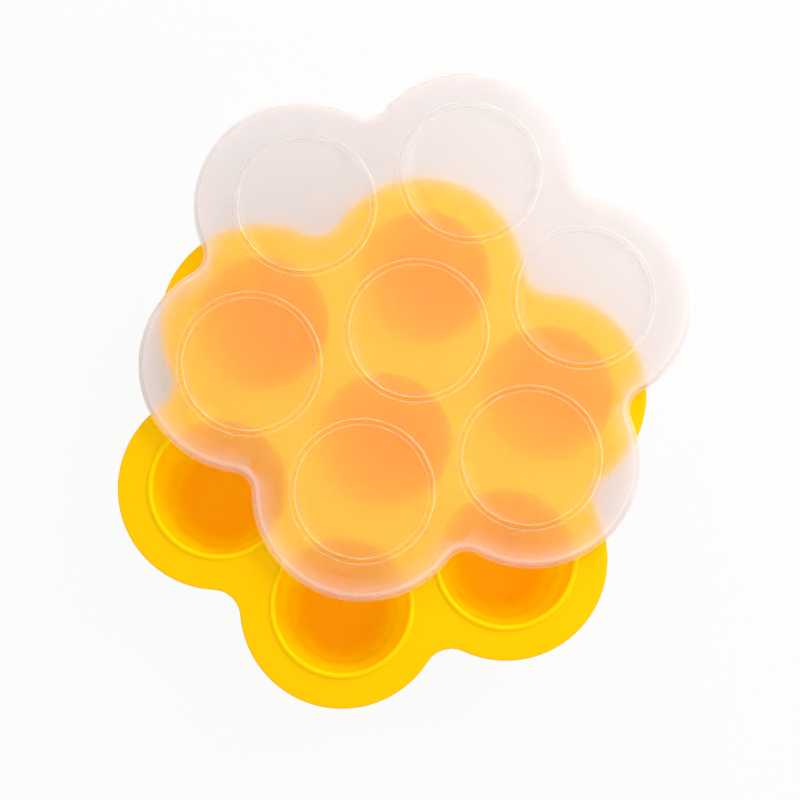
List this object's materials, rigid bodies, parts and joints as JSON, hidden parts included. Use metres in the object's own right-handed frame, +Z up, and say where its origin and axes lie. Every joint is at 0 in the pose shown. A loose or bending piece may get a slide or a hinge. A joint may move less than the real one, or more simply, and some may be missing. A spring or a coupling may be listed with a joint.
{
  "type": "baby food freezer tray",
  "caption": "Flower-shaped silicone freezer tray for baby food, with round cups and a milky clip-on lid of the same outline lying askew on top.",
  "frame": {"origin": "centre of the middle cup's flat foot, on the surface that the tray stands on", "axes": "+Z up, out of the cups' mouths; +X through the centre of an outer cup, and +Y to its left across the flange"},
  "size_m": [0.2261, 0.2241, 0.0506],
  "materials": {
    "tray_silicone": "satin moulded silicone, opaque bright yellow",
    "lid_plastic": "milky translucent, lightly frosted"
  },
  "bodies": {
    "tray": {"tray": "tray_silicone"},
    "lid": {"lid": "lid_plastic"}
  },
  "joints": [
    {"name": "lid_lift", "type": "slide", "parent": "tray", "child": "lid", "axis": [0, 0, 1], "range_m": [0, 0.08]}
  ]
}
